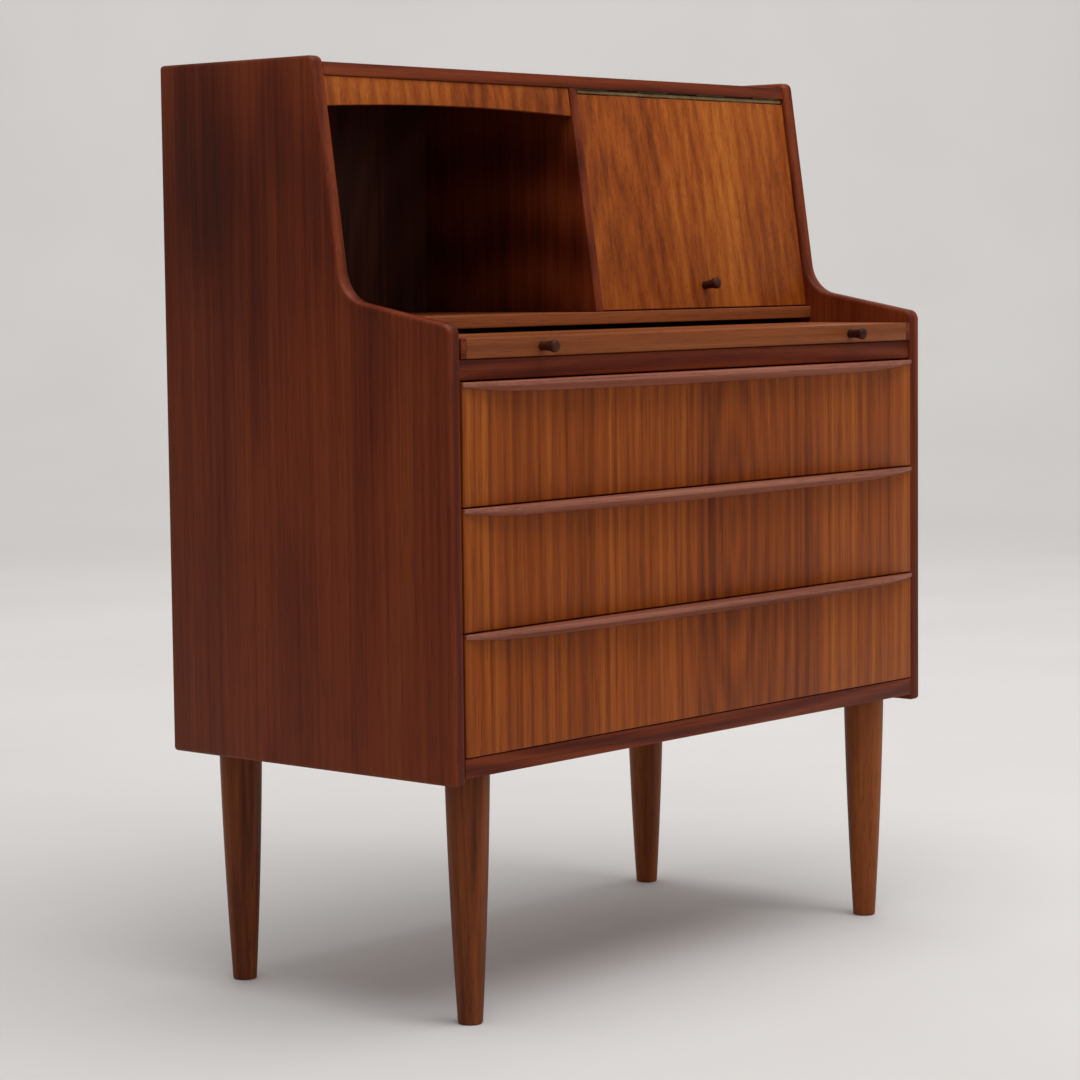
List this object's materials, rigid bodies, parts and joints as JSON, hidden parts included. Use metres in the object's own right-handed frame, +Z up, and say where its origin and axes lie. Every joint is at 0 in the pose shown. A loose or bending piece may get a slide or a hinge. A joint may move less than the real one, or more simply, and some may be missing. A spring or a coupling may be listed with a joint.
{
  "type": "secretary desk",
  "caption": "Teak secretary desk on turned legs with full-width drawers, pull-out writing leaf, open compartment and lift-up flap.",
  "frame": {"origin": "centre of the overall box on the floor", "axes": "+Z up, front faces -Y, +X to the right of someone facing the front"},
  "size_m": [0.84, 0.449, 1.016],
  "materials": {
    "side_teak": "satin oiled",
    "front_teak": "satin oiled",
    "edge_teak": "satin oiled",
    "pull_teak": "satin oiled",
    "leg_teak": "satin oiled",
    "dark_teak": "satin oiled",
    "inner_wood": "raw",
    "steel": "satin",
    "brass": "aged"
  },
  "bodies": {
    "case": {"side_left": "side_teak", "side_right": "side_teak", "top_board": "side_teak", "header_board": "front_teak", "divider": "side_teak", "deck_board": "edge_teak", "bottom_board": "side_teak", "leaf_rail": "side_teak", "back_lower": "dark_teak", "back_upper": "dark_teak", "leg_front_left": "leg_teak", "leg_front_right": "leg_teak", "leg_back_left": "leg_teak", "leg_back_right": "leg_teak", "bolt_front_left": "steel", "bolt_front_right": "steel", "bolt_back_left": "steel", "bolt_back_right": "steel", "runner_1_left": "inner_wood", "runner_1_right": "inner_wood", "runner_2_left": "inner_wood", "runner_2_right": "inner_wood", "runner_3_left": "inner_wood", "runner_3_right": "inner_wood", "leaf_runner_left": "inner_wood", "leaf_runner_right": "inner_wood", "hinge_top_leaf": "brass", "hinge_pin": "brass", "stay_keeper": "brass"},
    "flap": {"flap_panel": "front_teak", "flap_knob": "dark_teak", "hinge_flap_leaf": "brass", "stay_arm": "brass"},
    "leaf": {"leaf_board": "edge_teak", "leaf_lip_left": "side_teak", "leaf_lip_right": "side_teak", "leaf_stop": "inner_wood", "leaf_knob_left": "dark_teak", "leaf_knob_right": "dark_teak"},
    "drawer_1": {"drawer_1_front": "front_teak", "drawer_1_pull": "pull_teak", "drawer_1_side_left": "inner_wood", "drawer_1_side_right": "inner_wood", "drawer_1_back": "inner_wood", "drawer_1_bottom": "inner_wood"},
    "drawer_2": {"drawer_2_front": "front_teak", "drawer_2_pull": "pull_teak", "drawer_2_side_left": "inner_wood", "drawer_2_side_right": "inner_wood", "drawer_2_back": "inner_wood", "drawer_2_bottom": "inner_wood"},
    "drawer_3": {"drawer_3_front": "front_teak", "drawer_3_pull": "pull_teak", "drawer_3_side_left": "inner_wood", "drawer_3_side_right": "inner_wood", "drawer_3_back": "inner_wood", "drawer_3_bottom": "inner_wood"}
  },
  "joints": [
    {"name": "flap_hinge", "type": "hinge", "parent": "case", "child": "flap", "pos_m": [0.2, -0.00651, 0.9926], "axis": [-1, 0, 0], "range_deg": [0, 74]},
    {"name": "leaf_slide", "type": "slide", "parent": "case", "child": "leaf", "axis": [0, -1, 0], "range_m": [0, 0.23]},
    {"name": "drawer_1_slide", "type": "slide", "parent": "case", "child": "drawer_1", "axis": [0, -1, 0], "range_m": [0, 0.28]},
    {"name": "drawer_2_slide", "type": "slide", "parent": "case", "child": "drawer_2", "axis": [0, -1, 0], "range_m": [0, 0.28]},
    {"name": "drawer_3_slide", "type": "slide", "parent": "case", "child": "drawer_3", "axis": [0, -1, 0], "range_m": [0, 0.28]}
  ]
}
